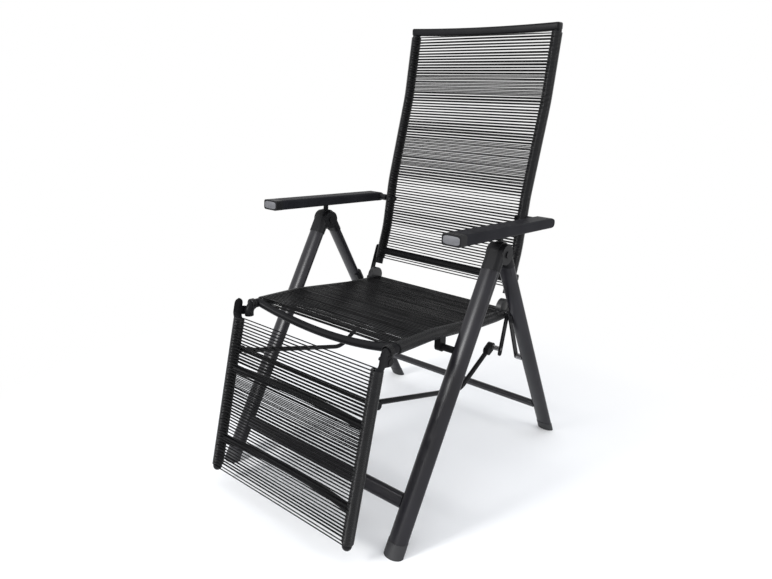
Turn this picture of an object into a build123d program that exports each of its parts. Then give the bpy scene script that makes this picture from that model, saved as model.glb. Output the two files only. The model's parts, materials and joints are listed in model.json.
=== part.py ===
from build123d import *
import os
from math import hypot

# Reclining garden armchair with a linked footrest, folding aluminium frame and round PVC cord.
# Millimetres. +Z is up, the sitter looks along -Y, and +X is the sitter's left.
# Side-view points are (Y, Z), with Y measured from the top of the legs' A. The finished chair is
# moved along Y at the end, so that the middle of its footprint is the origin.

# Overall stance
leg_spacing = 558.0
apex_height = 624.0
front_reach = 363.0
rear_reach = 343.0
pivot_drop = 27.0
overrun = 40.0
running_gap = 0.05
loose_gap = 0.3
side_gap = 0.5

# Leg tubes, flat ovals that lie wide across the chair
front_leg_wide = 47.0
front_leg_deep = 27.0
rear_leg_wide = 44.0
rear_leg_deep = 21.0
leg_wall = 2.0
foot_cap_wall = 1.0
foot_sole = 4.0
foot_cap_height = 28.0
front_bar_height = 95.0
front_bar_tall = 34.0
front_bar_deep = 18.0
rear_bar_height = 92.0
rear_bar_tall = 24.0
rear_bar_deep = 16.0

# Hinge caps on top of the legs and the posts that carry the armrests
cap_length = 46.0
cap_spigot = 24.0
cap_rim = 5.0
cap_proud = 0.2
tongue_wide = 20.0
leg_pin_radius = 5.0
leg_pin_head = 8.0
leg_pin_head_thick = 2.0
post_thick = 8.0
post_foot_radius = 9.0
post_head_radius = 5.5
rack_pin_behind = 2.0
rack_pin_rise = 19.0
rack_pin_radius = 3.5
rack_pin_length = 34.0
saddle_height = 407.0
saddle_length = 26.0
saddle_wall = 5.0

# Wound tubes and their cord
tube_radius = 11.0
tube_wall = 1.6
cord_size = 3.0
cord_pitch = 7.6

# Seat frame
seat_rail_inset = 61.0
seat_rail_run = [(160.0, 396.5), (110.0, 398.0), (30.0, 405.0), (-165.0, 432.5), (-328.0, 441.0), (-328.0, 414.0)]
seat_rail_bends = [300.0, 300.0, 300.0, 20.0]
seat_wound_rear = 152.0
seat_wound_front = -290.0
seat_bow_end = (-299.0, 442.0)
seat_bow_middle = (-287.0, 413.0)
seat_bow_radius = 9.5
seat_rear_bar_at = (96.0, 399.3)
seat_rear_bar_radius = 9.0
seat_pivot_drop = 33.766
seat_pivot_behind = 0.8
seat_pin_radius = 5.0
seat_pin_head = 8.0
seat_pin_head_thick = 2.5
seat_bracket_thick = 16.0
seat_bracket_radius = 11.0
hinge_block_at = (143.0, 414.0)
hinge_block_radius = 24.0
hinge_block_thick = 14.0

# Back frame
back_hinge = (141.0, 403.0)
back_rail_run = [(160.0, 447.0), (197.0, 555.0), (221.0, 690.0), (289.0, 925.0), (318.0, 1093.0)]
back_rail_bends = [300.0, 400.0, 400.0]
back_wound_low = 458.0
back_wound_high = 1087.0
hinge_pin_radius = 4.0
top_bar_overhang = 14.0
top_bar_tall = 19.0
top_bar_deep = 27.0
top_bar_wall = 2.0
top_bar_sag = 4.5
lower_bar_height = 485.0
lower_bar_radius = 10.5
arm_pivot_rise = 13.0
arm_pivot_ahead = 1.578

# Crank, link rod and footrest lever: equal and parallel levers, so the footrest turns with the back
lever = (-23.0, -93.0)
crank_offset = 15.0
crank_thick = 4.0
crank_width = 15.0
crank_tail = 10.0
crank_top_height = 492.0
crank_rivet_heights = (464.0, 488.0)
crank_rivet_radius = 3.0
crank_rivet_head = 5.0
crank_rivet_head_thick = 1.5
crank_rivet_blind_radius = 4.5
crank_rivet_blind_thick = 2.0
rod_inset = 13.0
rod_radius = 6.0
rod_bend_at = (-21.0, 237.0)
rod_bend_radius = 60.0
rod_eye_radius = 8.0
rod_eye_thick = 4.0
rod_end_radius = 11.0
rod_end_thick = 14.0
rod_end_length = 16.0
link_pin_radius = 4.0
link_pin_head = 6.0
link_pin_head_thick = 2.0
link_pin_sleeve = 6.5
cross_rod_radius = 4.0

# Footrest
foot_rail_outset = 4.0
foot_pivot = (-330.0, 425.0)
foot_rail_top = (-347.0, 447.0)
foot_rail_bottom = (-450.0, 35.0)
foot_tube_high = 398.0
foot_tube_low = 46.0
foot_wound_low = 50.0
foot_wound_high = 396.0
head_offset = 12.0
head_thick = 5.0
head_radius = 12.5
head_ear_radius = 11.0
head_low = 384.0
foot_pin_radius = 4.0
foot_pin_head = 7.0
foot_pin_head_thick = 1.5
foot_lug_thick = 8.0
foot_lug_radius = 8.0
foot_bar_heights = (292.0, 119.0)
foot_bar_radius = 9.5
foot_bar_bow = 20.0

# Rear links between the rear legs and the back hinge
link_pivot_height = 268.7
link_offset = 21.0
link_thick = 4.0
link_width = 14.0
link_bolt_radius = 5.0
link_bolt_head = 6.5
link_bolt_sink = 1.5
link_sleeve_radius = 8.0
link_bolt_grip = 8.0

# Armrests
arm_front_reach = 197.0
arm_front_rise = 38.0
arm_rear_overhang = 12.5
arm_wide = 48.0
arm_tall = 25.0
arm_wall = 3.0
arm_edge = 6.0
arm_cap_length = 22.0
arm_cap_spigot = 14.0
arm_bolt_radius = 4.0
arm_bolt_head = 8.0
arm_bolt_head_thick = 3.0
arm_sleeve_radius = 9.0
arm_boss_radius = 10.0
arm_boss_depth = 14.0
rack_thick = 6.0
rack_start = 190.0
rack_end = 372.0
rack_pitch = 22.0
rack_notch_radius = 4.0

# Places that follow from the sizes above
leg_x = leg_spacing / 2
rail_x = leg_x - seat_rail_inset
foot_x = rail_x + foot_rail_outset
rod_x = rail_x - rod_inset
crank_inner = rail_x + crank_offset
head_inner = rail_x + head_offset
link_inner = rail_x + link_offset
top_bar_length = 2 * (rail_x + top_bar_overhang)
wound_radius = tube_radius + cord_size
leg_pivot = (0.0, apex_height - pivot_drop)
apex = (0.0, apex_height)
parts = {}


def at(x, point):
    return Vector(x, point[0], point[1])


def step(a, direction, amount):
    return (a[0] + direction[0] * amount, a[1] + direction[1] * amount)


def unit(a, b):
    size = hypot(b[0] - a[0], b[1] - a[1])
    return ((b[0] - a[0]) / size, (b[1] - a[1]) / size)


def turned(direction):
    return (-direction[1], direction[0])


def nearest(point, start, direction):
    """Nearest point of a side-view line."""
    along = (point[0] - start[0]) * direction[0] + (point[1] - start[1]) * direction[1]
    return step(start, direction, along)


def crossing(a, along_a, b, along_b):
    """Where two side-view lines cross."""
    side = turned(along_b)
    apart = (b[0] - a[0]) * side[0] + (b[1] - a[1]) * side[1]
    return step(a, along_a, apart / (along_a[0] * side[0] + along_a[1] * side[1]))


def at_height(a, b, height):
    """Point at a height on the side-view line through a and b."""
    return (a[0] + (b[0] - a[0]) * (height - a[1]) / (b[1] - a[1]), height)


def run_at_height(run, height):
    """Point at a height on a rising side-view run."""
    for a, b in zip(run, run[1:]):
        if height <= b[1]:
            break
    return at_height(a, b, height)


def x_rod(x_low, x_high, point, radius):
    """Round bar across the chair."""
    return Solid.make_cylinder(radius, x_high - x_low, Plane(origin=at(x_low, point), z_dir=(1, 0, 0)))


def plate(x_low, x_high, outline):
    """Flat plate in the side view, between two X values."""
    wire = Polyline(*[at(x_low, point) for point in outline], close=True)
    return Solid.extrude(Face(Wire(wire.edges())), Vector(x_high - x_low, 0, 0))


def strap(x_low, x_high, a, b, radius):
    """Flat bar with round ends from a to b."""
    side = turned(unit(a, b))
    corners = [step(a, side, radius), step(b, side, radius), step(b, side, -radius), step(a, side, -radius)]
    return plate(x_low, x_high, corners) + x_rod(x_low, x_high, a, radius) + x_rod(x_low, x_high, b, radius)


def oval_bar(x, a, b, wide, deep):
    """Oval bar from a to b, its wide side along X."""
    start = at(x, a)
    along = at(x, b) - start
    plane = Plane(origin=start, x_dir=(1, 0, 0), z_dir=along)
    return Solid.extrude((plane * SlotOverall(wide, deep)).face(), along)


def cross_bar(x_half, point, lean, tall, deep):
    """Oval bar across the chair, its tall side leaning along a side-view direction."""
    plane = Plane(origin=at(-x_half, point), x_dir=(0, lean[0], lean[1]), z_dir=(1, 0, 0))
    return Solid.extrude((plane * SlotOverall(tall, deep)).face(), Vector(2 * x_half, 0, 0))


def bent_bar(x, run, bends, radius):
    """Round bar along a bent side-view run."""
    path = FilletPolyline(*[at(x, point) for point in run], radius=bends)
    return sweep(Plane(origin=path @ 0, z_dir=path % 0) * Circle(radius), path=path)


def straight_bar(x, a, b, radius):
    start = at(x, a)
    along = at(x, b) - start
    return Solid.make_cylinder(radius, along.length, Plane(origin=start, z_dir=along))


def slab(low, high, upright):
    """Wide block between two heights, or between two Y values."""
    wide = 2 * (leg_spacing + apex_height)
    middle = (low + high) / 2
    if upright:
        return Pos(0, 0, middle) * Box(wide, wide, high - low)
    return Pos(0, middle, 0) * Box(wide, high - low, wide)


def solids_of(shapes):
    found = []
    for shape in shapes:
        found += shape.solids()
    return found


def store(name, *shapes):
    """Keep a node, as one solid or as a group of separate ones."""
    found = solids_of(shapes)
    parts[name] = found[0] if len(found) == 1 else Compound(children=found)


def pair(name, shape):
    """Keep the left and right pieces as two nodes."""
    store(name + "_left", shape)
    store(name + "_right", mirror(shape, about=Plane.YZ))


def group(name, *shapes):
    """Keep the left and right pieces as one node of separate solids."""
    store(name, *shapes, *[mirror(shape, about=Plane.YZ) for shape in shapes])


front_foot = (-front_reach, 0.0)
rear_foot = (rear_reach, 0.0)
front_run = unit(apex, front_foot)
rear_run = unit(apex, rear_foot)
front_top = nearest(leg_pivot, apex, front_run)
rear_top = nearest(leg_pivot, apex, rear_run)
tongue_radius = hypot(front_top[0], front_top[1] - leg_pivot[1]) + front_leg_deep / 2 + cap_proud
cheek_radius = hypot(rear_top[0], rear_top[1] - leg_pivot[1]) + rear_leg_deep / 2 + cap_proud
link_pivot = at_height(apex, rear_foot, link_pivot_height)
seat_lean = unit(seat_rail_run[3], seat_rail_run[2])
pivot_line = step(seat_rail_run[2], turned(seat_lean), -seat_pivot_drop)
leg_crossing = crossing(apex, front_run, pivot_line, seat_lean)
seat_pivot = (leg_crossing[0] + seat_pivot_behind, leg_crossing[1])
rack_pin_at = (rack_pin_behind, apex_height + rack_pin_rise)
arm_pivot_height = apex_height + arm_pivot_rise
arm_pivot = (run_at_height(back_rail_run, arm_pivot_height)[0] - arm_pivot_ahead, arm_pivot_height)
arm_front = (-arm_front_reach, apex_height + arm_front_rise)
arm_run = unit(arm_pivot, arm_front)
crank_pin_at = (back_hinge[0] + lever[0], back_hinge[1] + lever[1])
cross_rod_at = (foot_pivot[0] + lever[0], foot_pivot[1] + lever[1])


def leg_core(top, foot, run, wide, deep):
    """Outer shape of a leg tube, run on past the floor."""
    return oval_bar(leg_x, top, step(foot, run, overrun), wide, deep)


def leg_tube(top, foot, run, wide, deep):
    """Oval leg tube, cut level above the foot cap's sole."""
    seam = step(top, run, cap_length)
    bore = leg_core(seam, foot, run, wide - 2 * leg_wall, deep - 2 * leg_wall)
    tube = leg_core(seam, foot, run, wide, deep) - bore
    return tube & slab(foot_sole, apex_height, True)


def foot_cap(foot, run, wide, deep):
    """Plastic sleeve with a level sole round the foot of a leg."""
    high = step(foot, run, -2 * overrun)
    outer = leg_core(high, foot, run, wide + 2 * foot_cap_wall, deep + 2 * foot_cap_wall)
    core = leg_core(high, foot, run, wide, deep) & slab(foot_sole, apex_height, True)
    return (outer - core) & slab(0, foot_cap_height, True)


def cap_blank(top, run, wide, deep):
    """Flush cap above the tube, with a rim line at the seam and a spigot inside the tube."""
    seam = step(top, run, cap_length)
    blank = oval_bar(leg_x, top, seam, wide, deep)
    bore_wide = wide - 2 * leg_wall - 2 * running_gap
    bore_deep = deep - 2 * leg_wall - 2 * running_gap
    return blank + oval_bar(leg_x, step(seam, run, -cap_rim), step(seam, run, cap_spigot), bore_wide, bore_deep)


def both_sides_of_tongue(radius, gap):
    """Discs about the leg pivot on both sides of the tongue."""
    inner = tongue_wide / 2 + gap
    outer = front_leg_wide / 2 + side_gap
    return (x_rod(leg_x - outer, leg_x - inner, leg_pivot, radius)
            + x_rod(leg_x + inner, leg_x + outer, leg_pivot, radius))


def make_legs():
    front_core = leg_core(front_top, front_foot, front_run, front_leg_wide, front_leg_deep)
    rear_core = leg_core(rear_top, rear_foot, rear_run, rear_leg_wide, rear_leg_deep)
    inner_face = leg_x - front_leg_wide / 2
    head_high = rail_x - seat_bracket_thick / 2 - running_gap
    head_low = head_high - seat_pin_head_thick
    collar_low = rail_x + seat_bracket_thick / 2 + loose_gap
    seat_pin = x_rod(collar_low, inner_face + cap_rim, seat_pivot, seat_pin_head) - front_core
    seat_pin += x_rod(head_low, inner_face + link_bolt_grip, seat_pivot, seat_pin_radius)
    seat_pin += x_rod(head_low, head_high, seat_pivot, seat_pin_head)
    front_leg = leg_tube(front_top, front_foot, front_run, front_leg_wide, front_leg_deep)
    pair("front_leg", front_leg - x_rod(rail_x, leg_x, seat_pivot, seat_pin_radius))
    group("seat_pivot_pins", seat_pin)
    group("front_foot_caps", foot_cap(front_foot, front_run, front_leg_wide, front_leg_deep))
    front_bar = cross_bar(leg_x, at_height(apex, front_foot, front_bar_height), front_run, front_bar_tall,
                          front_bar_deep)
    store("front_crossbar", front_bar - [front_core, mirror(front_core, about=Plane.YZ)])

    link_x = leg_x - rear_leg_wide / 2
    bolt = x_rod(link_inner, link_x + link_bolt_grip, link_pivot, link_bolt_radius)
    bolt += x_rod(link_inner, link_inner + link_bolt_sink, link_pivot, link_bolt_head)
    sleeve_low = link_inner + link_thick + running_gap
    bolt += x_rod(sleeve_low, link_x + cap_rim, link_pivot, link_sleeve_radius) - rear_core
    rear_leg = leg_tube(rear_top, rear_foot, rear_run, rear_leg_wide, rear_leg_deep)
    pair("rear_leg", rear_leg - x_rod(link_inner, leg_x, link_pivot, link_bolt_radius))
    group("link_pins", bolt)
    group("rear_foot_caps", foot_cap(rear_foot, rear_run, rear_leg_wide, rear_leg_deep))
    rear_bar = cross_bar(leg_x, at_height(apex, rear_foot, rear_bar_height), rear_run, rear_bar_tall,
                         rear_bar_deep)
    store("rear_crossbar", rear_bar - [rear_core, mirror(rear_core, about=Plane.YZ)])

    middle = at_height(apex, rear_foot, saddle_height)
    half = saddle_length / 2
    saddle = oval_bar(leg_x, step(middle, rear_run, -half), step(middle, rear_run, half),
                      rear_leg_wide + 2 * saddle_wall, rear_leg_deep + 2 * saddle_wall) - rear_core
    under = turned(rear_run)
    low = step(middle, under, -(rear_leg_deep / 2 + saddle_wall))
    face = step(middle, under, -rear_leg_deep / 2)
    corners = [step(low, rear_run, -overrun), step(face, rear_run, -overrun), step(face, rear_run, overrun),
               step(low, rear_run, overrun)]
    saddle -= plate(leg_x - overrun, leg_x + overrun, corners)
    saddle -= x_rod(leg_x + rear_leg_wide / 2 - rear_leg_deep / 2, leg_x + overrun, middle, saddle_length)
    group("rear_leg_collars", saddle)

    link = strap(link_inner, link_inner + link_thick, link_pivot, back_hinge, link_width / 2)
    link -= x_rod(link_inner, link_inner + link_thick, link_pivot, link_bolt_radius + running_gap)
    link -= x_rod(link_inner, link_inner + link_bolt_sink + running_gap, link_pivot, link_bolt_head + running_gap)
    link -= x_rod(link_inner, link_inner + link_thick, back_hinge, hinge_pin_radius + loose_gap)
    pair("rear_link", link)


def make_leg_caps():
    tongue = x_rod(leg_x - tongue_wide / 2, leg_x + tongue_wide / 2, leg_pivot, tongue_radius)
    front = cap_blank(front_top, front_run, front_leg_wide, front_leg_deep)
    front = front - both_sides_of_tongue(cheek_radius + side_gap, 0) + tongue
    post = strap(leg_x - post_thick / 2, leg_x + post_thick / 2, leg_pivot, rack_pin_at, post_head_radius)
    post += x_rod(leg_x - post_thick / 2, leg_x + post_thick / 2, leg_pivot, post_foot_radius)
    front -= post
    front -= x_rod(leg_x - front_leg_wide, leg_x + front_leg_wide, leg_pivot, leg_pin_radius)
    post -= x_rod(leg_x - post_thick, leg_x + post_thick, leg_pivot, leg_pin_radius)
    post -= x_rod(leg_x - post_thick, leg_x + post_thick, rack_pin_at, rack_pin_radius)
    group("front_leg_caps", front)
    group("armrest_posts", post)
    group("rack_pins", x_rod(leg_x - rack_pin_length / 2, leg_x + rack_pin_length / 2, rack_pin_at, rack_pin_radius))

    rear = cap_blank(rear_top, rear_run, rear_leg_wide, rear_leg_deep)
    gap_half = tongue_wide / 2 + side_gap
    rear -= x_rod(leg_x - gap_half, leg_x + gap_half, leg_pivot, tongue_radius + side_gap)
    cheek_half = rear_leg_wide / 2
    for low, high in ((-cheek_half, -gap_half), (gap_half, cheek_half)):
        rear += x_rod(leg_x + low, leg_x + high, leg_pivot, cheek_radius)
    rear -= x_rod(leg_x - overrun, leg_x + overrun, leg_pivot, leg_pin_radius + running_gap)
    group("rear_leg_caps", rear)
    head_low = leg_x - cheek_half - side_gap
    head_high = leg_x + cheek_half + side_gap
    pin = x_rod(head_low - leg_pin_head_thick, head_high + leg_pin_head_thick, leg_pivot, leg_pin_radius)
    pin += x_rod(head_low - leg_pin_head_thick, head_low, leg_pivot, leg_pin_head)
    pin += x_rod(head_high, head_high + leg_pin_head_thick, leg_pivot, leg_pin_head)
    group("leg_hinge_pins", pin)


def wound_net(run, cords, start, x, side):
    """Cord layer on one side of two rails: a bent band with a slot between each two cords."""
    near, far = tube_radius * side, wound_radius * side
    normals = [turned(unit(a, b)) for a, b in zip(run, run[1:])]
    bends = [normals[0]] + normals + [normals[-1]]

    def shifted(amount):
        moved = []
        for place, before, after in zip(run, bends, bends[1:]):
            middle = (before[0] + after[0], before[1] + after[1])
            size = middle[0] * after[0] + middle[1] * after[1]
            moved.append(step(place, middle, amount / size))
        return moved

    edge = x - wound_radius
    band = plate(-(x - cord_size * 2), x - cord_size * 2, shifted(near) + shifted(far)[::-1])
    slots = []
    travelled = start
    lengths = [hypot(b[0] - a[0], b[1] - a[1]) for a, b in zip(run, run[1:])]
    for number in range(cords - 1):
        low = travelled + number * cord_pitch + cord_size / 2
        index = 0
        rest = low
        while index < len(lengths) - 1 and rest > lengths[index]:
            rest -= lengths[index]
            index += 1
        along = unit(run[index], run[index + 1])
        first = step(run[index], along, rest)
        last = step(first, along, cord_pitch - cord_size)
        inner, outer = near - cord_size * side, far + cord_size * side
        corners = [step(first, normals[index], inner), step(last, normals[index], inner),
                   step(last, normals[index], outer), step(first, normals[index], outer)]
        slots.append(plate(-edge, edge, corners))
    return band - slots


def run_between(run, low, high, axis):
    """Part of a side-view run between two values of Y or Z, in the run's own order."""
    kept = []
    for a, b in zip(run, run[1:]):
        for end in (low, high):
            if min(a[axis], b[axis]) < end <= max(a[axis], b[axis]):
                share = (end - a[axis]) / (b[axis] - a[axis])
                kept.append((a[0] + (b[0] - a[0]) * share, a[1] + (b[1] - a[1]) * share))
    corners = [point for point in run if low < point[axis] < high]
    return sorted(kept + corners, key=lambda point: point[axis])


def cord_count(run):
    length = sum(hypot(b[0] - a[0], b[1] - a[1]) for a, b in zip(run, run[1:]))
    return int(length / cord_pitch) + 1, (length % cord_pitch) / 2


def net_layer(name, run, x, side, blockers):
    """One cord layer of a wound frame, cut round the wound rails."""
    cords, start = cord_count(run)
    store(name, wound_net(run, cords, start, x, side) - blockers)


def make_seat():
    rail = bent_bar(rail_x, seat_rail_run, seat_rail_bends, tube_radius)
    wound = bent_bar(rail_x, seat_rail_run, seat_rail_bends, wound_radius)
    bore = bent_bar(rail_x, seat_rail_run, seat_rail_bends, tube_radius - tube_wall)
    on_rail = run_between(seat_rail_run, seat_pivot[0] - running_gap, seat_pivot[0], 0)[0]
    bracket_low = rail_x - seat_bracket_thick / 2
    bracket_high = rail_x + seat_bracket_thick / 2
    bracket_blank = strap(bracket_low, bracket_high, on_rail, seat_pivot, seat_bracket_radius)
    bracket = bracket_blank - rail - x_rod(bracket_low, bracket_high, seat_pivot, seat_pin_radius + running_gap)
    pieces = sorted(bracket.solids(), key=lambda piece: piece.center().Z)
    group("seat_brackets", pieces[0])
    block_blank = x_rod(rail_x - hinge_block_thick / 2, rail_x + hinge_block_thick / 2, hinge_block_at,
                        hinge_block_radius)
    bore_for_pin = x_rod(rail_x - overrun, rail_x + overrun, back_hinge, hinge_pin_radius + running_gap)
    block = block_blank - rail - bore_for_pin
    group("seat_hinge_blocks", sorted(block.solids(), key=lambda piece: -piece.volume)[0])
    toe_pin = x_rod(rail_x - overrun, rail_x + overrun, foot_pivot, foot_pin_radius + running_gap)
    pair("seat_rail", rail - bore - bore_for_pin - toe_pin)
    sleeve = (wound - rail) & slab(seat_wound_front, seat_wound_rear, False)
    bow = ThreePointArc(at(-rail_x, seat_bow_end), at(0, seat_bow_middle), at(rail_x, seat_bow_end))
    bar = sweep(Plane(origin=bow @ 0, z_dir=bow % 0) * Circle(seat_bow_radius), path=bow)
    sleeve = sleeve - block_blank - pieces[0] - bore_for_pin - bar
    group("seat_windings", sorted(sleeve.solids(), key=lambda piece: -piece.volume)[0])

    rails = [rail, mirror(rail, about=Plane.YZ)]
    wounds = [wound, mirror(wound, about=Plane.YZ)]
    store("seat_bow", sorted((bar - rails).solids(), key=lambda piece: -piece.volume)[0])
    rear_bar = x_rod(-rail_x, rail_x, seat_rear_bar_at, seat_rear_bar_radius)
    store("seat_rear_bar", rear_bar - wounds)
    block_pair = [block_blank, mirror(block_blank, about=Plane.YZ)]
    run = run_between(seat_rail_run[:-1], seat_wound_front, seat_wound_rear, 0)[::-1]
    under_front = seat_bow_end[0] + 2 * seat_bow_radius + cord_pitch
    under_run = run_between(seat_rail_run[:-1], under_front, seat_wound_rear, 0)[::-1]
    bracket_pair = [bracket_blank, mirror(bracket_blank, about=Plane.YZ)]
    blockers = wounds + block_pair + bracket_pair + [bar]
    net_layer("seat_net_top", run, rail_x, -1, blockers)
    net_layer("seat_net_bottom", under_run, rail_x, 1, blockers)


def make_back():
    rail = bent_bar(rail_x, back_rail_run, back_rail_bends, tube_radius)
    wound = bent_bar(rail_x, back_rail_run, back_rail_bends, wound_radius)
    bore = bent_bar(rail_x, back_rail_run, back_rail_bends, tube_radius - tube_wall)
    bolt_hole = x_rod(rail_x - overrun, rail_x + overrun, arm_pivot, arm_bolt_radius + running_gap)
    rivet_places = [run_at_height(back_rail_run, height) for height in crank_rivet_heights]
    flange_high = rail_x + ((tube_radius - tube_wall) ** 2 - crank_rivet_blind_radius ** 2) ** 0.5 - running_gap
    rivet_low = flange_high - crank_rivet_blind_thick
    crank_outer = crank_inner + crank_thick
    rivets = []
    for place in rivet_places:
        rivet = x_rod(rivet_low, crank_outer + crank_rivet_head_thick, place, crank_rivet_radius)
        rivet += x_rod(rivet_low, flange_high, place, crank_rivet_blind_radius)
        rivet += x_rod(crank_outer, crank_outer + crank_rivet_head_thick, place, crank_rivet_head)
        rivets.append(rivet)
    holes = [x_rod(rail_x, rail_x + overrun, place, crank_rivet_radius) for place in rivet_places]
    group("crank_rivets", *rivets)
    pair("back_rail", rail - bore - bolt_hole - holes)
    sleeve = (wound - rail) & slab(back_wound_low, back_wound_high, True)
    group("back_windings", sleeve - bolt_hole - holes)
    wounds = [wound, mirror(wound, about=Plane.YZ)]
    lower_at = run_at_height(back_rail_run, lower_bar_height)
    store("back_lower_bar", x_rod(-rail_x, rail_x, lower_at, lower_bar_radius) - wounds)
    half = top_bar_length / 2
    top_end = (back_rail_run[-1][0], back_rail_run[-1][1] + top_bar_tall / 2)
    top_middle = (top_end[0], top_end[1] - top_bar_sag)
    arc = ThreePointArc(at(-half, top_end), at(0, top_middle), at(half, top_end))
    across = Plane(origin=arc @ 0, x_dir=(0, 1, 0), z_dir=arc % 0)
    skin = sweep(across * SlotOverall(top_bar_deep, top_bar_tall), path=arc)
    hollow = sweep(across * SlotOverall(top_bar_deep - 2 * top_bar_wall, top_bar_tall - 2 * top_bar_wall), path=arc)
    rails = [rail, mirror(rail, about=Plane.YZ)]
    ends = x_rod(-half, -half + top_bar_wall, top_end, top_bar_deep) & skin
    store("back_top_bar", (skin - hollow) + ends + mirror(ends, about=Plane.YZ) - rails)

    run = run_between(back_rail_run, back_wound_low, back_wound_high, 1)
    net_layer("back_net_front", run, rail_x, 1, wounds)
    net_layer("back_net_rear", run, rail_x, -1, wounds)

    crank_top = run_at_height(back_rail_run, crank_top_height)
    tail = step(crank_pin_at, unit(back_hinge, crank_pin_at), crank_tail)
    crank = strap(crank_inner, crank_outer, tail, back_hinge, crank_width / 2)
    crank += strap(crank_inner, crank_outer, back_hinge, crank_top, crank_width / 2)
    crank -= x_rod(crank_inner, crank_outer, back_hinge, hinge_pin_radius + running_gap)
    crank -= x_rod(crank_inner, crank_outer, crank_pin_at, link_pin_radius)
    pair("crank", crank - holes)
    pin = x_rod(rail_x - tube_radius - hinge_pin_radius, crank_outer + crank_rivet_head_thick, back_hinge,
                hinge_pin_radius)
    group("back_hinge_pins", pin)
    eye_low = rod_x - rod_end_thick / 2 - side_gap
    eye_high = rod_x + rod_end_thick / 2 + side_gap
    link_pin = x_rod(eye_low - link_pin_head_thick, crank_outer, crank_pin_at, link_pin_radius)
    link_pin += x_rod(eye_low - link_pin_head_thick, eye_low, crank_pin_at, link_pin_head)
    link_pin += x_rod(eye_high, crank_inner, crank_pin_at, link_pin_sleeve)
    group("crank_pins", link_pin)

    bolt_low = rail_x - wound_radius - side_gap
    arm_inner = leg_x - arm_wide / 2
    bolt = x_rod(bolt_low - arm_bolt_head_thick, arm_inner + arm_boss_depth, arm_pivot, arm_bolt_radius)
    bolt += x_rod(bolt_low - arm_bolt_head_thick, bolt_low, arm_pivot, arm_bolt_head)
    bolt += x_rod(rail_x + wound_radius + side_gap, arm_inner - side_gap, arm_pivot, arm_sleeve_radius)
    pair("armrest_bolt", bolt)


def straight_window(half, middle, run):
    """Gap in the rear cords where a footrest bar bows through them."""
    reach = foot_bar_radius + loose_gap
    side = turned(run)
    first = step(middle, run, -reach)
    last = step(middle, run, reach)
    return plate(-half, half, [first, last, step(last, side, overrun), step(first, side, overrun)])


def make_footrest():
    rail_run = unit(foot_rail_top, foot_rail_bottom)
    high = at_height(foot_rail_top, foot_rail_bottom, foot_tube_high)
    low = at_height(foot_rail_top, foot_rail_bottom, foot_tube_low)
    rail = straight_bar(foot_x, high, low, tube_radius)
    wound = straight_bar(foot_x, high, low, wound_radius)
    bore = straight_bar(foot_x, high, low, tube_radius - tube_wall)
    lug_root = nearest(cross_rod_at, high, rail_run)
    lug_low = foot_x - foot_lug_thick / 2
    lug_high = foot_x + foot_lug_thick / 2
    lug = strap(lug_low, lug_high, lug_root, cross_rod_at, foot_lug_radius)
    lug = lug - rail - x_rod(lug_low, lug_high, cross_rod_at, cross_rod_radius + running_gap)
    lug = sorted(lug.solids(), key=lambda piece: piece.center().Y)[-1]
    ear_root = nearest(foot_pivot, high, rail_run)
    crown = step(foot_rail_top, rail_run, head_radius)
    head_foot = at_height(foot_rail_top, foot_rail_bottom, head_low)
    head_outer = head_inner + head_thick
    head = strap(head_inner, head_outer, crown, head_foot, head_radius)
    head += strap(head_inner, head_outer, foot_pivot, ear_root, head_ear_radius)
    head -= x_rod(head_inner, head_outer, foot_pivot, foot_pin_radius + running_gap)
    group("footrest_heads", head)
    pair("footrest_rail", (rail - bore - head) + lug)
    sleeve = (wound - rail) & slab(foot_wound_low, foot_wound_high, True)
    sleeve = sleeve - lug - head
    group("footrest_windings", sorted(sleeve.solids(), key=lambda piece: -piece.volume)[0])
    plug = Pos(*at(foot_x, low)) * Sphere(tube_radius)
    plug -= straight_bar(foot_x, high, low, 2 * tube_radius)
    group("footrest_plugs", plug)
    pin_low = rail_x - tube_radius - foot_pin_head_thick
    pin = x_rod(pin_low, head_outer + foot_pin_head_thick, foot_pivot, foot_pin_radius)
    pin += x_rod(head_outer + running_gap, head_outer + foot_pin_head_thick, foot_pivot, foot_pin_head)
    group("footrest_pivot_pins", pin)

    wounds = [wound, mirror(wound, about=Plane.YZ)]
    bars = []
    windows = []
    for height in foot_bar_heights:
        end = at_height(foot_rail_top, foot_rail_bottom, height)
        middle = step(end, turned(rail_run), foot_bar_bow)
        arc = ThreePointArc(at(-foot_x, end), at(0, middle), at(foot_x, end))
        bar = sweep(Plane(origin=arc @ 0, z_dir=arc % 0) * Circle(foot_bar_radius), path=arc)
        bars.append(sorted((bar - wounds).solids(), key=lambda piece: -piece.volume)[0])
        window_edge = foot_x - wound_radius
        windows.append(straight_window(window_edge, end, rail_run))
    store("footrest_crossbars", *bars)
    run = run_between([low, high], foot_wound_low, foot_wound_high, 1)
    lugs = [lug, mirror(lug, about=Plane.YZ)]
    heads = [head, mirror(head, about=Plane.YZ)]
    net_layer("footrest_net_front", run, foot_x, 1, wounds + heads)
    net_layer("footrest_net_rear", run, foot_x, -1, wounds + heads + bars + lugs + windows)


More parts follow.
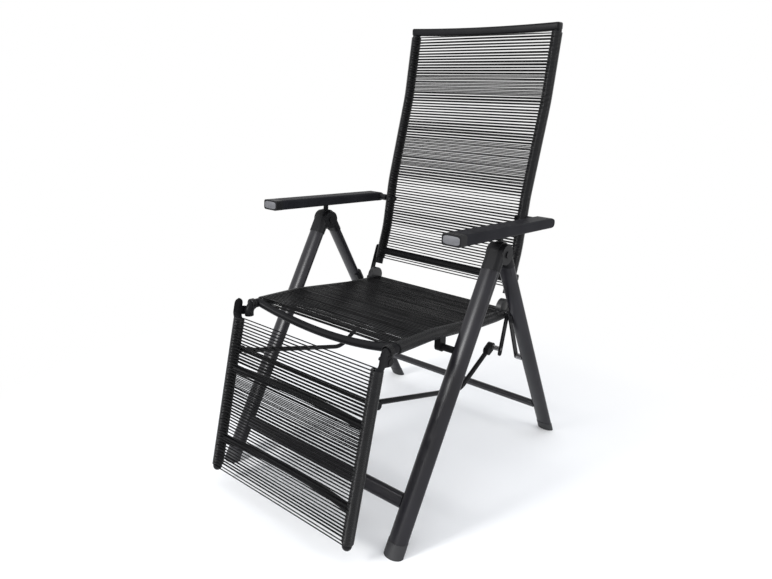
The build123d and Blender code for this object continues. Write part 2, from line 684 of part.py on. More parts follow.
def make_links():
    store("link_cross_rod", x_rod(-lug_reach, lug_reach, cross_rod_at, cross_rod_radius))
    run = [cross_rod_at, rod_bend_at, crank_pin_at]
    rod = bent_bar(rod_x, run, rod_bend_radius, rod_radius)
    eye_low = rod_x - rod_eye_thick / 2
    eye_high = rod_x + rod_eye_thick / 2
    start = unit(cross_rod_at, rod_bend_at)
    neck = step(cross_rod_at, start, 2 * rod_eye_radius)
    flat = strap(rod_x - rod_radius, rod_x + rod_radius, cross_rod_at, neck, rod_eye_radius)
    flat -= strap(eye_low, eye_high, cross_rod_at, neck, rod_eye_radius)
    hole = x_rod(rod_x - overrun, rod_x + overrun, cross_rod_at, cross_rod_radius + running_gap)
    rod = rod - flat + strap(eye_low, eye_high, cross_rod_at, neck, rod_eye_radius) - hole
    end_low = rod_x - rod_end_thick / 2
    end_high = rod_x + rod_end_thick / 2
    end = step(crank_pin_at, unit(crank_pin_at, rod_bend_at), rod_end_length)
    fitting = strap(end_low, end_high, crank_pin_at, end, rod_end_radius)
    bore = x_rod(end_low, end_high, crank_pin_at, link_pin_radius + loose_gap)
    rod_short = rod - x_rod(end_low - overrun, end_high + overrun, crank_pin_at, rod_end_radius)
    pair("link_rod", sorted(rod_short.solids(), key=lambda piece: -piece.volume)[0])
    group("link_rod_ends", fitting - bore - rod_short)


def arm_section(length, start, wide, tall):
    """Rounded armrest bar from a distance before the pivot, going forwards."""
    first = step(arm_pivot, arm_run, start)
    plane = Plane(origin=at(leg_x, first), x_dir=(1, 0, 0), z_dir=at(0, arm_run))
    return Solid.extrude((plane * RectangleRounded(wide, tall, arm_edge)).face(), at(0, arm_run) * length)


def make_armrests():
    reach = hypot(arm_front[0] - arm_pivot[0], arm_front[1] - arm_pivot[1])
    body_reach = reach - arm_cap_length
    blank = arm_section(body_reach, 0, arm_wide, arm_tall)
    blank += arm_section(arm_rear_overhang, -arm_rear_overhang, arm_wide, arm_tall) & x_rod(
        leg_x - arm_wide, leg_x + arm_wide, arm_pivot, arm_rear_overhang)
    up = (-turned(arm_run)[0], -turned(arm_run)[1])
    drop = arm_tall / 2
    inner_half = arm_wide / 2 - arm_wall
    roof = drop - arm_wall
    rear = step(arm_pivot, arm_run, arm_boss_radius)
    front = step(arm_pivot, arm_run, body_reach + overrun)
    corners = [step(rear, up, roof), step(front, up, roof), step(front, up, -2 * drop), step(rear, up, -2 * drop)]
    channel = plate(leg_x - inner_half, leg_x + inner_half, corners)
    rack_root = step(arm_pivot, arm_run, rack_start)
    rack_tip = step(arm_pivot, arm_run, rack_end)
    racks = []
    for low in (-inner_half, inner_half - rack_thick):
        strip = plate(leg_x + low, leg_x + low + rack_thick,
                      [step(rack_root, up, drop - arm_wall / 2), step(rack_tip, up, drop - arm_wall / 2), rack_tip,
                       rack_root])
        for number in range(int((rack_end - rack_start) / rack_pitch)):
            place = step(rack_root, arm_run, rack_pitch * number + rack_pitch - rack_notch_radius)
            strip -= x_rod(leg_x + low, leg_x + low + rack_thick, place, rack_notch_radius)
        racks.append(strip)
    body = blank - channel
    for strip in racks:
        body += strip
    bore = x_rod(leg_x - arm_wide, leg_x - arm_wide / 2 + arm_boss_depth + side_gap, arm_pivot,
                 arm_bolt_radius + running_gap)
    pair("armrest", body - bore)
    cap = arm_section(arm_cap_length, body_reach, arm_wide, arm_tall)
    peg = arm_section(arm_cap_spigot, body_reach - arm_cap_spigot, 2 * inner_half, 2 * roof)
    pair("armrest_front_cap", cap + (peg & channel) - body)


lug_reach = foot_x + foot_lug_thick / 2
make_legs()
make_leg_caps()
make_seat()
make_back()
make_footrest()
make_links()
make_armrests()

# The middle of the footprint becomes the origin
boxes = [shape.bounding_box() for shape in parts.values()]
lowest = min(box.min.Y for box in boxes)
highest = max(box.max.Y for box in boxes)
shift = -(lowest + highest) / 2
print("nodes", len(parts), "shift", round(shift, 3))
os.makedirs("parts", exist_ok=True)
for name, shape in parts.items():
    export_step(Pos(0, shift, 0) * shape, f"parts/{name}.step")
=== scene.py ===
import json
import math
import random

import bpy
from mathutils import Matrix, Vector


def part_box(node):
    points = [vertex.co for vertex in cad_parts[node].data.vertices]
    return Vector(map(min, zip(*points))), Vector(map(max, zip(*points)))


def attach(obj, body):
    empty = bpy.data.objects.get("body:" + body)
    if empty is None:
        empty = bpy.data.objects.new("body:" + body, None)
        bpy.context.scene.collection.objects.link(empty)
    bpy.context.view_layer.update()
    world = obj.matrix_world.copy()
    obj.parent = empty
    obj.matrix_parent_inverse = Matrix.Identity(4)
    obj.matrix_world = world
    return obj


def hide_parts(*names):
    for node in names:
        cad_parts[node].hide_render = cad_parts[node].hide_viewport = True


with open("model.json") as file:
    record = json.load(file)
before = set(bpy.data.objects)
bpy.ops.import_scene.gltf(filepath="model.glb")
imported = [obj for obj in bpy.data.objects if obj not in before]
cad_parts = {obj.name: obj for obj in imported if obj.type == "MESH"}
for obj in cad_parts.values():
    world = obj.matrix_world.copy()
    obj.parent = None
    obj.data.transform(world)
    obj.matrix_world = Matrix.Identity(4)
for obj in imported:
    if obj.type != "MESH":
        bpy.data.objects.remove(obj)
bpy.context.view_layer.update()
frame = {"nodes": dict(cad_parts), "record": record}
nodes = frame["nodes"]
mm = 0.001               # every size below is in mm

# Side-view points are (y, z) in mm, with y from the leg hinge and z from the ground
hingeLow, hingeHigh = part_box("leg_hinge_pins")
hingeY = (hingeLow.y + hingeHigh.y) / 2


def sidePoint(x, y, z):
    return Vector((x * mm, y * mm + hingeY, z * mm))


# Helpers for the modelling operators

def deselectAll():
    if bpy.context.object and bpy.context.object.mode != "OBJECT":
        bpy.ops.object.mode_set(mode="OBJECT")
    bpy.ops.object.select_all(action="DESELECT")


def pick(obj):
    deselectAll()
    obj.select_set(True)
    bpy.context.view_layer.objects.active = obj
    return obj


def applyPlace(obj):
    pick(obj)
    bpy.ops.object.transform_apply(location=True, rotation=True, scale=True)
    return obj


def addModifier(obj, kind, **settings):
    pick(obj)
    modifier = obj.modifiers.new(kind.title(), kind)
    for name, value in settings.items():
        setattr(modifier, name, value)
    bpy.ops.object.modifier_apply(modifier=modifier.name)


def shadeSmooth(obj, angle):
    pick(obj)
    bpy.ops.object.shade_smooth_by_angle(angle=math.radians(angle))


def setMaterial(obj, material):
    obj.data.materials.clear()
    obj.data.materials.append(material)


def faceOutwards(obj):
    pick(obj)
    bpy.ops.object.mode_set(mode="EDIT")
    bpy.ops.mesh.select_all(action="SELECT")
    bpy.ops.mesh.normals_make_consistent(inside=False)
    bpy.ops.object.mode_set(mode="OBJECT")


def closeEnds(obj):
    pick(obj)
    bpy.ops.object.mode_set(mode="EDIT")
    bpy.ops.mesh.select_all(action="SELECT")
    bpy.ops.mesh.fill_holes(sides=0)
    bpy.ops.object.mode_set(mode="OBJECT")
    faceOutwards(obj)


# Materials

def hexColour(text):
    channels = [int(text[i:i + 2], 16) / 255 for i in (1, 3, 5)]
    linear = [c / 12.92 if c <= 0.04045 else ((c + 0.055) / 1.055) ** 2.4 for c in channels]
    return (*linear, 1)


def addNode(owner, kind, links=None, **settings):
    node = owner.node_tree.nodes.new(kind)
    for name, value in settings.items():
        if name in node.inputs:
            node.inputs[name].default_value = value
        elif name.replace("_", " ") in node.inputs:
            node.inputs[name.replace("_", " ")].default_value = value
        else:
            setattr(node, name, value)
    for socket, source in (links or {}).items():
        owner.node_tree.links.new(source, node.inputs[socket])
    return node


def newMaterial(name, **shaderSettings):
    material = bpy.data.materials.new(name)
    material.use_nodes = True
    shader = material.node_tree.nodes["Principled BSDF"]
    for socket, value in shaderSettings.items():
        shader.inputs[socket.replace("_", " ")].default_value = value
    return material, shader


def perMetre(lengthMm):
    return 1 / (lengthMm * mm)


# Paint peel and moulding grain show as a fine bump, and uneven gloss as soft clouds between two near tones
mottle = {"darkUpTo": 0.35, "lightFrom": 0.65, "grainDetail": 2.0, "grainRoughness": 0.6, "cloudDetail": 3.0,
          "bumpShare": 0.2}


def satinSurface(name, look):
    material, shader = newMaterial(name, Roughness=look["roughness"], Specular_IOR_Level=look["shine"])
    place = addNode(material, "ShaderNodeTexCoord")
    grain = addNode(material, "ShaderNodeTexNoise", {"Vector": place.outputs["Object"]},
                    Scale=perMetre(look["peelMm"]), Detail=mottle["grainDetail"], Roughness=mottle["grainRoughness"])
    cloud = addNode(material, "ShaderNodeTexNoise", {"Vector": place.outputs["Object"]},
                    Scale=perMetre(look["cloudMm"]), Detail=mottle["cloudDetail"])
    ramp = addNode(material, "ShaderNodeValToRGB", {"Fac": cloud.outputs["Fac"]})
    dark, light = ramp.color_ramp.elements
    dark.position, dark.color = mottle["darkUpTo"], hexColour(look["dark"])
    light.position, light.color = mottle["lightFrom"], hexColour(look["light"])
    bump = addNode(material, "ShaderNodeBump", {"Height": grain.outputs["Fac"]}, Strength=look["bump"],
                   Distance=look["peelMm"] * mm * mottle["bumpShare"])
    link = material.node_tree.links.new
    link(ramp.outputs["Color"], shader.inputs["Base Color"])
    link(bump.outputs["Normal"], shader.inputs["Normal"])
    return material


finishes = {
    # Satin anthracite powder coat: a soft highlight runs down each leg
    "leg": {"dark": "#1a191d", "light": "#1f1e23", "roughness": 0.31, "shine": 0.32,
            "peelMm": 1.2, "cloudMm": 60, "bump": 0.08},
    # Black powder coat on the round tubes: close to matt
    "rail": {"dark": "#121214", "light": "#171719", "roughness": 0.38, "shine": 0.1,
             "peelMm": 1.0, "cloudMm": 50, "bump": 0.2},
    # Black powder coat on the flat armrests: their tops stay dark at a low angle
    "arm": {"dark": "#1f1f22", "light": "#242427", "roughness": 0.45, "shine": 0.02,
            "peelMm": 0.9, "cloudMm": 70, "bump": 0.15},
    # Moulded black ABS: a fine grain breaks the highlight
    "plastic": {"dark": "#121214", "light": "#161618", "roughness": 0.46, "shine": 0.16,
                "peelMm": 0.7, "cloudMm": 30, "bump": 0.4},
    # Softer grey plastic of the foot caps: paler than the legs, and dull
    "sole": {"dark": "#262628", "light": "#2d2d2f", "roughness": 0.55, "shine": 0.4,
             "peelMm": 0.7, "cloudMm": 30, "bump": 0.4},
    # Extruded round PVC cord: near black, with a faint sheen
    "cord": {"dark": "#0b0b0c", "light": "#0f0f10", "roughness": 0.32, "shine": 0.08,
             "peelMm": 0.8, "cloudMm": 25, "bump": 0.15},
    # The same cord in close turns, given a paler base colour than the spans as painted sheen; each turn also catches
    # a small glint
    "wound": {"dark": "#0e0e10", "light": "#141416", "roughness": 0.3, "shine": 0.32,
              "peelMm": 0.8, "cloudMm": 25, "bump": 0.15},
    # Moulded grey ABS: a little paler than the black
    "hinge": {"dark": "#1a1a1c", "light": "#202022", "roughness": 0.42, "shine": 0.45,
              "peelMm": 0.8, "cloudMm": 20, "bump": 0.3},
    # Satin grey plastic of the armrests' front badges
    "badge": {"dark": "#5f5f62", "light": "#6a6a6d", "roughness": 0.5, "shine": 0.35,
              "peelMm": 0.9, "cloudMm": 40, "bump": 0.1},
}
legCoat = satinSurface("legPowderCoat", finishes["leg"])
railCoat = satinSurface("railPowderCoat", finishes["rail"])
armCoat = satinSurface("armPowderCoat", finishes["arm"])
blackPlastic = satinSurface("blackMouldedPlastic", finishes["plastic"])
cordPvc = satinSurface("roundPvcCord", finishes["cord"])
# The windings' cord is the span cord painted a little paler: painted sheen
woundCordPaintedSheen = satinSurface("windingCordPaintedSheen", finishes["wound"])
hingePlastic = satinSurface("greyMouldedPlastic", finishes["hinge"])
solePlastic = satinSurface("greySolePlastic", finishes["sole"])
badgePlastic = satinSurface("satinGreyPlastic", finishes["badge"])


# Zinc-plated steel of the pins: pale grey, with a fine crystal grain
zincLook = {"dark": "#8a8a8c", "light": "#b4b4b6", "roughness": 0.35, "grainMm": 3, "grainDetail": 3.0}


def zincSteel():
    material, shader = newMaterial("zincPlatedSteel", Metallic=1.0, Roughness=zincLook["roughness"])
    place = addNode(material, "ShaderNodeTexCoord")
    grain = addNode(material, "ShaderNodeTexNoise", {"Vector": place.outputs["Object"]},
                    Scale=perMetre(zincLook["grainMm"]), Detail=zincLook["grainDetail"])
    ramp = addNode(material, "ShaderNodeValToRGB", {"Fac": grain.outputs["Fac"]})
    dark, light = ramp.color_ramp.elements
    dark.color, light.color = hexColour(zincLook["dark"]), hexColour(zincLook["light"])
    material.node_tree.links.new(ramp.outputs["Color"], shader.inputs["Base Color"])
    return material


zinc = zincSteel()
slotMaterials = {"leg_metal": legCoat, "rail_metal": railCoat, "arm_metal": armCoat, "bright_metal": zinc,
                 "steel_pin": zinc, "black_plastic": blackPlastic, "grey_plastic": hingePlastic, "pvc_cord": cordPvc}
for entry in frame["record"]["subparts"]:
    setMaterial(nodes[entry["node"]], slotMaterials[entry["material_slot"]])
for name in ("leg_hinge_pins", "seat_pivot_pins", "footrest_pivot_pins", "crank_rivets", "armrest_bolt_left",
             "armrest_bolt_right"):
    setMaterial(nodes[name], blackPlastic)
print("materials set")


# Rails: side-view runs that the cord is wound on

def filletRun(points, bends, step=4.0):
    path = [Vector(points[0])]
    for before, corner, after, bend in zip(points, points[1:], points[2:], bends):
        before, corner, after = Vector(before), Vector(corner), Vector(after)
        arrive, leave = (corner - before).normalized(), (after - corner).normalized()
        turn = arrive.angle_signed(leave)
        reach = bend * math.tan(abs(turn) / 2)
        first = corner - arrive * reach
        centre = first + Vector((-arrive.y, arrive.x)) * bend * (-1 if turn > 0 else 1)
        count = max(2, int(abs(turn) * bend / step))
        for i in range(count + 1):
            angle = -turn * i / count
            spoke = first - centre
            path.append(centre + Vector((spoke.x * math.cos(angle) - spoke.y * math.sin(angle),
                                         spoke.x * math.sin(angle) + spoke.y * math.cos(angle))))
    path.append(Vector(points[-1]))
    return path


class Rail:
    def __init__(self, spacing, points, bends, low, high, axis):
        self.x = spacing / 2
        path = filletRun(points, bends)
        self.path = path
        self.lengths = [0.0]
        for a, b in zip(path, path[1:]):
            self.lengths.append(self.lengths[-1] + (b - a).length)
        self.start = self.distanceAt(low, axis)
        self.end = self.distanceAt(high, axis)
        if self.start > self.end:
            self.start, self.end = self.end, self.start

    def distanceAt(self, value, axis):
        for i, (a, b) in enumerate(zip(self.path, self.path[1:])):
            if min(a[axis], b[axis]) <= value <= max(a[axis], b[axis]) and a[axis] != b[axis]:
                share = (value - a[axis]) / (b[axis] - a[axis])
                return self.lengths[i] + share * (self.lengths[i + 1] - self.lengths[i])
        raise ValueError("the rail doesn't reach that place")

    def placeAt(self, distance):
        i = 0
        while i < len(self.path) - 2 and self.lengths[i + 1] < distance:
            i += 1
        a, b = self.path[i], self.path[i + 1]
        along = (b - a).normalized()
        return a + along * (distance - self.lengths[i]), Vector((-along.y, along.x))


cord = {"diameter": 3.0, "pitch": 7.6, "turnPitch": 3.06, "tubeRadius": 11.0, "sides": 6, "stepsPerTurn": 14,
        "spanPieces": 8, "unevenMm": 0.35, "slackMm": 0.8, "leastSlack": 0.2, "smoothAngle": 60, "seed": 7}
cordRing = cord["tubeRadius"] + cord["diameter"] / 2

# Each run has the rails' spacing, their side-view corners, the radius at each inner corner, and the two places that
# the cord lies between, measured along y (0) or z (1). The elbow's turns go on over the seat's front corner.
seatCorners = [(160, 396.5), (110, 398), (30, 405), (-165, 432.5), (-328, 441)]
runs = {
    "back": {"spacing": 436, "points": [(160, 447), (197, 555), (221, 690), (289, 925), (318, 1093)],
             "bends": [300, 400, 400], "low": 462, "high": 1087, "axis": 1},
    "seat": {"spacing": 436, "points": seatCorners, "bends": [300, 300, 300], "low": 152, "high": -290, "axis": 0},
    "elbow": {"spacing": 436, "points": seatCorners, "bends": [300, 300, 300], "low": -310, "high": -322, "axis": 0},
    "foot": {"spacing": 444, "points": [(-450, 35), (-347, 447)], "bends": [], "low": 50, "high": 412, "axis": 1},
}
backRail, seatRail, elbowRail, footRail = (Rail(**runs[name]) for name in ("back", "seat", "elbow", "foot"))


def bendOnto(obj, rail):
    for vertex in obj.data.vertices:
        point, across = rail.placeAt(rail.start + vertex.co.z / mm)
        place = point + across * (vertex.co.x / mm)
        vertex.co = sidePoint(vertex.co.y / mm, place.x, place.y)
    obj.data.update()


def windRail(name, rail, body, node):
    length = rail.end - rail.start
    turns = int(length / cord["turnPitch"])
    deselectAll()
    bpy.ops.mesh.primitive_circle_add(vertices=cord["sides"], radius=cord["diameter"] / 2 * mm,
                                      location=(cordRing * mm, 0, cord["diameter"] / 2 * mm),
                                      rotation=(math.pi / 2, 0, 0))
    winding = applyPlace(bpy.context.object)
    winding.name = name
    addModifier(winding, "SCREW", axis="Z", angle=2 * math.pi, screw_offset=length / turns * mm,
                iterations=turns, steps=cord["stepsPerTurn"], render_steps=cord["stepsPerTurn"])
    for vertex in winding.data.vertices:
        vertex.co.y += rail.x * mm
    bendOnto(winding, rail)
    closeEnds(winding)
    addModifier(winding, "MIRROR")
    shadeSmooth(winding, cord["smoothAngle"])
    # The windings take the cord material with the painted sheen in its paler tone
    setMaterial(winding, woundCordPaintedSheen)
    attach(winding, body)
    if node:
        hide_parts(node)


def spanCords(name, rail, side, body, node, seed, gaps=()):
    length = rail.end - rail.start
    count = int(length / cord["pitch"]) + 1
    first = (length % cord["pitch"]) / 2
    deselectAll()
    bpy.ops.mesh.primitive_cylinder_add(vertices=cord["sides"], radius=cord["diameter"] / 2 * mm,
                                        depth=2 * rail.x * mm, location=(cordRing * side * mm, 0, 0),
                                        rotation=(math.pi / 2, 0, 0))
    spans = applyPlace(bpy.context.object)
    spans.name = name
    cut = rail.x * mm
    bpy.ops.object.mode_set(mode="EDIT")
    for i in range(1, cord["spanPieces"]):
        bpy.ops.mesh.select_all(action="SELECT")
        bpy.ops.mesh.bisect(plane_co=(0, -cut + 2 * cut * i / cord["spanPieces"], 0), plane_no=(0, 1, 0))
    bpy.ops.object.mode_set(mode="OBJECT")
    each = len(spans.data.vertices)
    addModifier(spans, "ARRAY", count=count, use_relative_offset=False, use_constant_offset=True,
                constant_offset_displace=(0, 0, cord["pitch"] * mm))
    draw = random.Random(cord["seed"] + seed)
    drop = []
    for number in range(count):
        tilt = draw.uniform(-1, 1) * cord["unevenMm"]
        lift = draw.uniform(-1, 1) * cord["unevenMm"]
        slack = draw.uniform(cord["leastSlack"], 1) * cord["slackMm"]
        base = first + number * cord["pitch"]
        for vertex in spans.data.vertices[number * each:(number + 1) * each]:
            across = vertex.co.y / (rail.x * mm)
            vertex.co.z += (first + lift + tilt * across) * mm
            vertex.co.x -= side * slack * (1 - across * across) * mm
        if any(low < base < high for low, high in gaps):
            drop.append(number)
    bendOnto(spans, rail)
    if drop:
        pick(spans)
        bpy.ops.object.mode_set(mode="EDIT")
        bpy.ops.mesh.select_all(action="DESELECT")
        bpy.ops.object.mode_set(mode="OBJECT")
        for number in drop:
            for vertex in spans.data.vertices[number * each:(number + 1) * each]:
                vertex.select = True
        bpy.ops.object.mode_set(mode="EDIT")
        bpy.ops.mesh.delete(type="VERT")
        bpy.ops.object.mode_set(mode="OBJECT")
    faceOutwards(spans)
    shadeSmooth(spans, cord["smoothAngle"])
    setMaterial(spans, cordPvc)
    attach(spans, body)
    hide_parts(node)


# The lower cords of the seat stop short of the front corner, and the footrest's rear cords miss its crossbars
seatGap = {"front": 18}
footBars = {"heights": (292, 119), "radius": 9.5, "clear": 1.8}
seatLength = seatRail.end - seatRail.start
barGaps = []
for height in footBars["heights"]:
    middle = footRail.distanceAt(height, 1) - footRail.start
    reach = footBars["radius"] + footBars["clear"]
    barGaps.append((middle - reach, middle + reach))

windRail("backWinding", backRail, "back_frame", "back_windings")
spanCords("backFrontCords", backRail, 1, "back_frame", "back_net_front", seed=1)
spanCords("backRearCords", backRail, -1, "back_frame", "back_net_rear", seed=2)
windRail("seatWinding", seatRail, "seat_frame", "seat_windings")
spanCords("seatTopCords", seatRail, -1, "seat_frame", "seat_net_top", seed=3)
spanCords("seatUnderCords", seatRail, 1, "seat_frame", "seat_net_bottom", seed=4,
          gaps=[(seatLength - seatGap["front"], seatLength + cord["pitch"])])
windRail("footWinding", footRail, "footrest_frame", "footrest_windings")
spanCords("footFrontCords", footRail, 1, "footrest_frame", "footrest_net_front", seed=5)
windRail("elbowWinding", elbowRail, "seat_frame", None)
spanCords("footRearCords", footRail, -1, "footrest_frame", "footrest_net_rear", seed=6, gaps=barGaps)
print("cords wound")


# Smooth shells over the plainer metal parts

outward = Vector((1, 0, 0))
shellLook = {"sides": 32, "smoothAngle": 40}


# A closed shell through rings, each a place, two directions and the radius along each
def ringShell(name, rings, sides):
    deselectAll()
    bpy.ops.mesh.primitive_cylinder_add(vertices=sides, radius=1, depth=2)
    shell = bpy.context.object
    shell.name = name
    steps = len(rings) - 1
    bpy.ops.object.mode_set(mode="EDIT")
    for i in range(1, steps):
        bpy.ops.mesh.select_all(action="SELECT")
        bpy.ops.mesh.bisect(plane_co=(0, 0, -1 + 2 * i / steps), plane_no=(0, 0, 1))
    bpy.ops.object.mode_set(mode="OBJECT")
    for vertex in shell.data.vertices:
        place, across, deep, wide, thick = rings[round((vertex.co.z + 1) / 2 * steps)]
        vertex.co = place + across * (vertex.co.x * wide * mm) + deep * (vertex.co.y * thick * mm)
    faceOutwards(shell)
    shadeSmooth(shell, shellLook["smoothAngle"])
    return shell


def mixed(a, b, share):
    return a + (b - a) * share


def flipSide(obj):
    for vertex in obj.data.vertices:
        vertex.co.x = -vertex.co.x
    pick(obj)
    bpy.ops.object.mode_set(mode="EDIT")
    bpy.ops.mesh.select_all(action="SELECT")
    bpy.ops.mesh.flip_normals()
    bpy.ops.object.mode_set(mode="OBJECT")


# Oval legs run from the hinge cap's seam to the sole, and the foot caps stand slightly proud of them
legs = {"x": 279, "apex": (0, 624), "hingeDrop": 27, "capLength": 46, "soleHeight": 4, "capHeight": 28,
        "capGrow": 0.9, "capEdge": 1.2, "capEdgeAngle": 60, "capEdgeSteps": 2, "sides": 48,
        "front": {"foot": (-363, 0), "wide": 47, "deep": 27}, "rear": {"foot": (343, 0), "wide": 44, "deep": 21}}


def legRun(kind):
    apex = Vector(legs["apex"])
    return apex, (Vector(legs[kind]["foot"]) - apex).normalized()


def ovalLeg(name, kind, high, low, grow, levelTop):
    look = legs[kind]
    apex, run = legRun(kind)
    deep, slope = Vector((0, run.y, -run.x)), Vector((0, run.x, run.y))
    wide, thick = look["wide"] / 2 + grow, look["deep"] / 2 + grow
    rings = []
    for height in (high, low):
        place = apex + run * ((height - apex.y) / run.y)
        rings.append((sidePoint(legs["x"], place.x, place.y), outward, deep, wide, thick))
    tube = ringShell(name, rings, legs["sides"])
    middle = (high + low) / 2 * mm
    for vertex in tube.data.vertices:
        atFoot = vertex.co.z < middle
        level = (low if atFoot else high) * mm
        if atFoot or levelTop:
            vertex.co += slope * ((level - vertex.co.z) / slope.z)
    return tube


def seamHeight(kind):
    apex, run = legRun(kind)
    hinge = apex - Vector((0, legs["hingeDrop"]))
    return (apex + run * ((hinge - apex).dot(run) + legs["capLength"])).y


def makeLegs():
    for kind in ("front", "rear"):
        for side in ("left", "right"):
            leg = ovalLeg(kind + "Leg" + side.title(), kind, seamHeight(kind), legs["soleHeight"], 0, False)
            if side == "right":
                flipSide(leg)
            setMaterial(leg, legCoat)
            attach(leg, kind + "_frame")
            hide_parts(kind + "_leg_" + side)
        caps = ovalLeg(kind + "FootCaps", kind, legs["capHeight"], 0, legs["capGrow"], True)
        addModifier(caps, "BEVEL", width=legs["capEdge"] * mm, segments=legs["capEdgeSteps"],
                    limit_method="ANGLE", angle_limit=math.radians(legs["capEdgeAngle"]))
        addModifier(caps, "MIRROR")
        shadeSmooth(caps, shellLook["smoothAngle"])
        setMaterial(caps, solePlastic)
        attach(caps, kind + "_frame")
        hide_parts(kind + "_foot_caps")


# A head swells from the wound tube, flattens over "blend" and ends round, with an ear back to the pivot
head = {"tubeX": 222, "plateX": 232.5, "bottom": (-450, 35), "top": (-347, 447), "pivot": (-330, 425), "low": 402,
        "tubeRadius": 11, "wide": 12.5, "halfThick": 2.5, "blend": 26, "leastDome": 0.02, "earRadius": 11,
        "earAngles": (0, 25, 50, 70, 84), "rings": 16, "smoothAngle": 60}


def stemRings(run, deep):
    bottom, top = Vector(head["bottom"]), Vector(head["top"])
    low = bottom + run * ((head["low"] - bottom.y) / run.y)
    length = (top - low).length + head["wide"]
    rings = []
    for i in range(head["rings"] + 1):
        distance = length * i / head["rings"]
        share = min(1, distance / head["blend"])
        ease = share * share * (3 - 2 * share)
        past = max(0, distance + head["wide"] - length) / head["wide"]
        dome = math.sqrt(max(head["leastDome"], 1 - past * past))
        place = low + run * distance
        rings.append((sidePoint(mixed(head["tubeX"], head["plateX"], ease), place.x, place.y), outward, deep,
                      mixed(head["tubeRadius"], head["halfThick"], ease),
                      mixed(head["tubeRadius"], head["wide"], ease) * dome))
    return rings


def earRings(run):
    top, pivot = Vector(head["top"]), Vector(head["pivot"])
    upward = Vector((0, run.x, run.y))
    root = top + run * (pivot - top).dot(run)
    reach = (pivot - root).normalized()
    rings = [(sidePoint(head["plateX"], root.x, root.y), outward, upward, head["halfThick"], head["earRadius"])]
    for angle in head["earAngles"]:
        place = pivot + reach * head["earRadius"] * math.sin(math.radians(angle))
        rings.append((sidePoint(head["plateX"], place.x, place.y), outward, upward, head["halfThick"],
                      head["earRadius"] * math.cos(math.radians(angle))))
    return rings


def makeHeads():
    run = (Vector(head["top"]) - Vector(head["bottom"])).normalized()
    stem = ringShell("footrestHeads", stemRings(run, Vector((0, run.y, -run.x))), shellLook["sides"])
    ear = ringShell("footrestEar", earRings(run), shellLook["sides"])
    pick(stem)
    ear.select_set(True)
    bpy.ops.object.join()
    addModifier(stem, "MIRROR")
    shadeSmooth(stem, head["smoothAngle"])
    setMaterial(stem, railCoat)
    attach(stem, "footrest_frame")
    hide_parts("footrest_heads")


# The top bar has rounded edges and flat ends, and sags a little in the middle
topBar = {"length": 454, "deep": 25, "tall": 19.6, "edge": 5, "edgeSteps": 4, "sag": 4.5, "end": (318, 1102),
          "slices": 24}


def makeTopBar():
    deselectAll()
    bpy.ops.mesh.primitive_cube_add(size=1, location=sidePoint(0, *topBar["end"]),
                                    scale=(topBar["length"] * mm, topBar["deep"] * mm, topBar["tall"] * mm))
    bar = applyPlace(bpy.context.object)
    bar.name = "backTopBar"
    addModifier(bar, "BEVEL", width=topBar["edge"] * mm, segments=topBar["edgeSteps"])
    pick(bar)
    half = topBar["length"] / 2 * mm
    bpy.ops.object.mode_set(mode="EDIT")
    for i in range(1, topBar["slices"]):
        bpy.ops.mesh.select_all(action="SELECT")
        bpy.ops.mesh.bisect(plane_co=(half * (2 * i / topBar["slices"] - 1), 0, 0), plane_no=(1, 0, 0))
    bpy.ops.object.mode_set(mode="OBJECT")
    for vertex in bar.data.vertices:
        vertex.co.z -= topBar["sag"] * mm * (1 - (vertex.co.x / half) ** 2)
    shadeSmooth(bar, shellLook["smoothAngle"])
    setMaterial(bar, railCoat)
    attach(bar, "back_frame")
    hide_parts("back_top_bar")


# A badge is a squarish oval, let into the armrest's front end and slightly proud of it. "squareness" is the power of
# its outline, where 2 is an ellipse.
badge = {"x": 279, "front": (-197, 662), "rear": (210, 637), "wide": 41, "tall": 18, "squareness": 4.2, "deep": 3,
         "proud": 0.5, "edge": 0.4, "edgeShare": 0.94, "sides": 40}


def squareOff(plate, middle, up):
    power = badge["squareness"]
    for vertex in plate.data.vertices:
        x = (vertex.co.x / mm - badge["x"]) * 2 / badge["wide"]
        spread = (abs(x) ** power + max(0, 1 - x * x) ** (power / 2)) ** (-1 / power)
        along = vertex.co - middle
        lift = (along.y * up.x + along.z * up.y) * (spread - 1)
        vertex.co.x = (badge["x"] + x * spread * badge["wide"] / 2) * mm
        vertex.co.y += up.x * lift
        vertex.co.z += up.y * lift


def makeBadges():
    front = Vector(badge["front"])
    run = (front - Vector(badge["rear"])).normalized()
    up = Vector((run.y, -run.x))
    steps = ((-badge["deep"], 1), (badge["proud"] - badge["edge"], 1), (badge["proud"], badge["edgeShare"]))
    rings = []
    for place, share in steps:
        spot = front + run * place
        rings.append((sidePoint(badge["x"], spot.x, spot.y), outward, Vector((0, up.x, up.y)),
                      badge["wide"] / 2 * share, badge["tall"] / 2 * share))
    for side in ("left", "right"):
        plate = ringShell("armrestBadge" + side.title(), rings, badge["sides"])
        squareOff(plate, rings[0][0], up)
        if side == "right":
            flipSide(plate)
        setMaterial(plate, badgePlastic)
        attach(plate, "armrest_" + side)


makeLegs()
print("legs made")
makeHeads()
makeTopBar()
makeBadges()
print("shells made")


# Floor, lights and camera

studio = {"floorRadius": 8, "floorSides": 96, "paper": "#f4f4f4", "backdrop": "#ffffff", "fadeFrom": 0.3,
          "fadeTo": 1.3, "ambient": "#e8ebf0", "ambientStrength": 1.1}


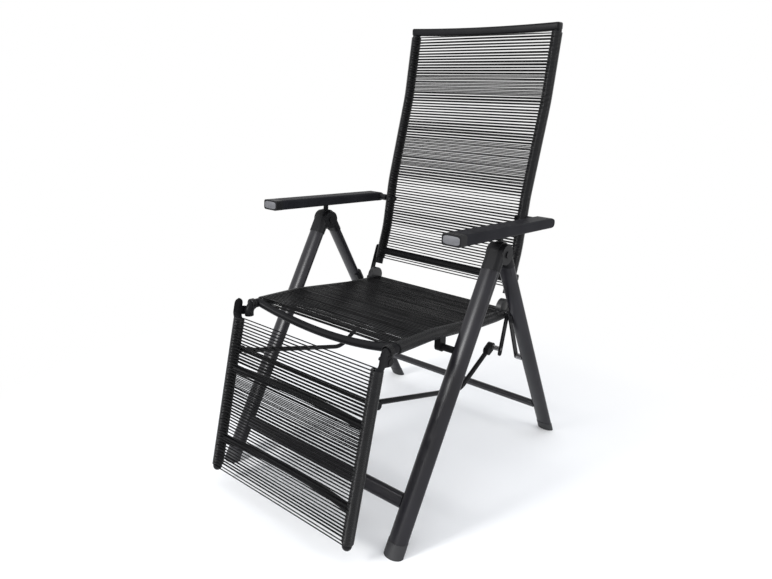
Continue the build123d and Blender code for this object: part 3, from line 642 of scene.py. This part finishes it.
# The paper floor keeps the shadow near the chair and fades to the white backdrop, in metres from the middle
def makeFloor():
    deselectAll()
    bpy.ops.mesh.primitive_circle_add(vertices=studio["floorSides"], radius=studio["floorRadius"], fill_type="NGON",
                                      location=(0, 0, 0))
    floor = bpy.context.object
    floor.name = "studioFloor"
    material = bpy.data.materials.new("paleFloor")
    material.use_nodes = True
    material.node_tree.nodes.clear()
    place = addNode(material, "ShaderNodeTexCoord")
    distance = addNode(material, "ShaderNodeVectorMath", {0: place.outputs["Object"]}, operation="LENGTH")
    fade = addNode(material, "ShaderNodeMapRange", {"Value": distance.outputs["Value"]},
                   interpolation_type="SMOOTHSTEP", From_Min=studio["fadeFrom"], From_Max=studio["fadeTo"])
    path = addNode(material, "ShaderNodeLightPath")
    seen = addNode(material, "ShaderNodeMath", {0: path.outputs["Is Camera Ray"], 1: path.outputs["Is Glossy Ray"]},
                   operation="MAXIMUM")
    share = addNode(material, "ShaderNodeMath", {0: fade.outputs["Result"], 1: seen.outputs["Value"]},
                    operation="MULTIPLY")
    paper = addNode(material, "ShaderNodeBsdfDiffuse", Color=hexColour(studio["paper"]))
    glow = addNode(material, "ShaderNodeEmission", Color=hexColour(studio["backdrop"]), Strength=1.0)
    mix = addNode(material, "ShaderNodeMixShader", {0: share.outputs["Value"], 1: paper.outputs["BSDF"],
                                                    2: glow.outputs["Emission"]})
    addNode(material, "ShaderNodeOutputMaterial", {"Surface": mix.outputs["Shader"]})
    setMaterial(floor, material)


# Places are in metres and powers in watts
lights = [
    {"name": "overhead", "size": 3.0, "power": 10, "place": (0.2, -0.3, 3.0), "aim": (0, 0, 0.5)},
    {"name": "keySoftbox", "size": 0.8, "power": 66, "place": (-1.0, -2.8, 1.9), "aim": (0, 0, 0.55)},
    {"name": "sideSoftbox", "size": 1.2, "power": 26, "place": (2.8, 0.4, 1.6), "aim": (0, 0, 0.5)},
]


def makeLights():
    for light in lights:
        deselectAll()
        bpy.ops.object.light_add(type="AREA", location=light["place"])
        lamp = bpy.context.object
        lamp.name = light["name"]
        lamp.data.shape = "SQUARE"
        lamp.data.size = light["size"]
        lamp.data.energy = light["power"]
        aim = Vector(light["aim"]) - Vector(light["place"])
        lamp.rotation_euler = aim.to_track_quat("-Z", "Y").to_euler()


# Camera, glossy and transmitted rays meet the white backdrop, and the rest a softer sky
def makeWorld():
    world = bpy.data.worlds.new("studio")
    bpy.context.scene.world = world
    world.use_nodes = True
    world.node_tree.nodes.clear()
    path = addNode(world, "ShaderNodeLightPath")
    seen = addNode(world, "ShaderNodeMath", {0: path.outputs["Is Camera Ray"],
                                             1: path.outputs["Is Transmission Ray"]}, operation="MAXIMUM")
    shown = addNode(world, "ShaderNodeMath", {0: seen.outputs["Value"], 1: path.outputs["Is Glossy Ray"]},
                    operation="MAXIMUM")
    soft = addNode(world, "ShaderNodeBackground", Color=hexColour(studio["ambient"]),
                   Strength=studio["ambientStrength"])
    white = addNode(world, "ShaderNodeBackground", Color=hexColour(studio["backdrop"]), Strength=1.0)
    mix = addNode(world, "ShaderNodeMixShader", {0: shown.outputs["Value"], 1: soft.outputs["Background"],
                                                 2: white.outputs["Background"]})
    addNode(world, "ShaderNodeOutputWorld", {"Surface": mix.outputs["Shader"]})


# The place is in mm like a side-view point, the turn in degrees, and lens and sensor in mm
view = {"place": (984.7, -1246.9, 965.1), "turn": (72.40, -0.80, 39.97), "lens": 29.83,
        "sensor": 36, "shiftX": -0.0016, "shiftY": -0.0059}


def makeCamera():
    deselectAll()
    bpy.ops.object.camera_add(location=sidePoint(*view["place"]),
                              rotation=[math.radians(angle) for angle in view["turn"]])
    camera = bpy.context.object
    camera.data.lens = view["lens"]
    camera.data.sensor_width = view["sensor"]
    camera.data.shift_x = view["shiftX"]
    camera.data.shift_y = view["shiftY"]
    bpy.context.scene.camera = camera


makeFloor()
makeLights()
makeWorld()
makeCamera()
bpy.context.scene.view_settings.view_transform = "Standard"
print("scene lit")
